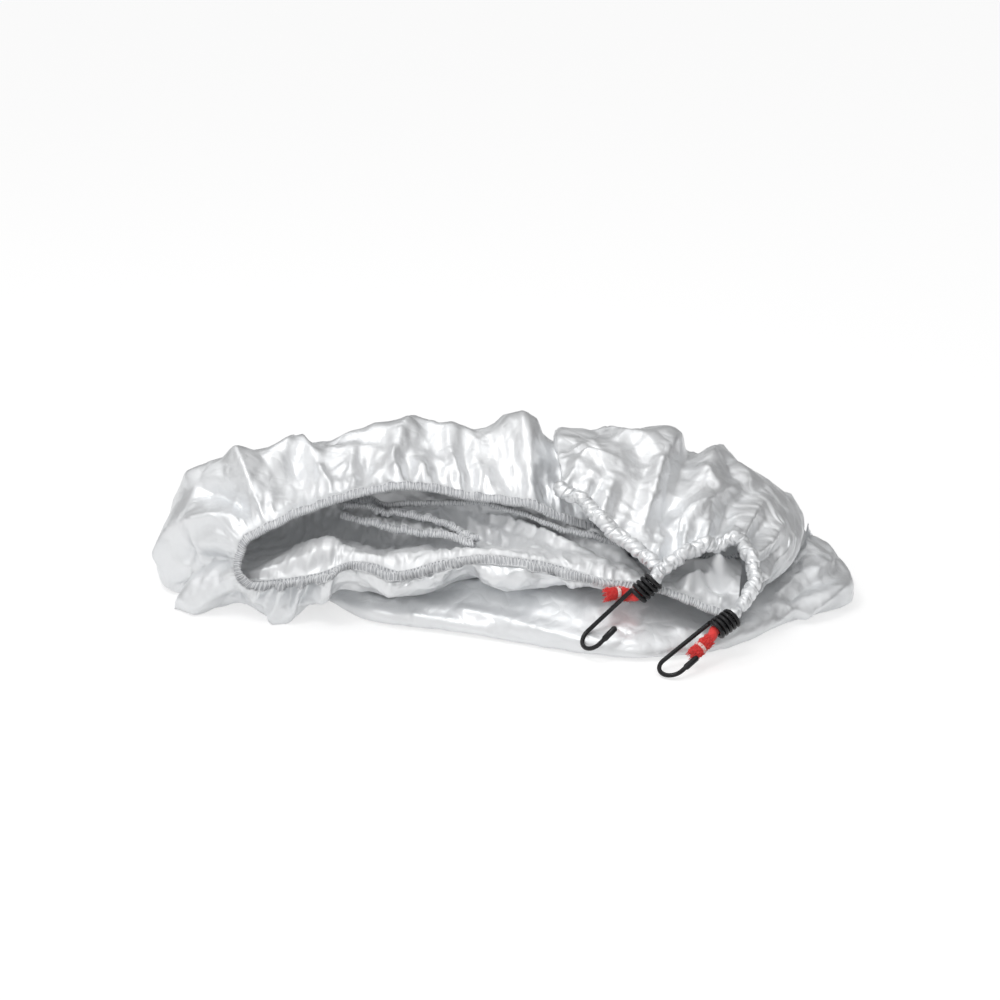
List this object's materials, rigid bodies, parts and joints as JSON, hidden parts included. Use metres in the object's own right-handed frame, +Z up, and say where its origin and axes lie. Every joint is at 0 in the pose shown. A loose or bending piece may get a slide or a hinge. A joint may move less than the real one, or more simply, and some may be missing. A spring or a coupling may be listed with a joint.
{
  "type": "bicycle cover",
  "caption": "Silver coated-cloth bicycle cover lying collapsed in a folded heap, with a gathered elastic hem, open mouth and black wire hooks on its red elastic cord.",
  "frame": {"origin": "middle of the heap in X and Y, on the ground plane it lies on", "axes": "+Z up, +Y away from the open mouth towards the closed back, +X from the closed end towards the end with the hooks"},
  "size_m": [0.4566, 0.2417, 0.1097],
  "materials": {
    "silver_cloth": "silver coated polyester, satin sheen",
    "inner_cloth": "silver coated polyester, in shade",
    "black_wire": "black coated steel wire, semi-gloss, dipped points",
    "red_cord": "frayed braid of an elastic cord, matte",
    "pale_thread": "whipping thread, matte"
  },
  "bodies": {
    "root": {"front_panel": "silver_cloth", "rear_panel": "silver_cloth", "base_panel": "silver_cloth", "inner_layer": "inner_cloth", "inner_flap": "inner_cloth", "hook_left": "black_wire", "hook_right": "black_wire", "cord_end_left": "red_cord", "cord_end_right": "red_cord", "whipping_left": "pale_thread", "whipping_right": "pale_thread"}
  },
  "joints": []
}
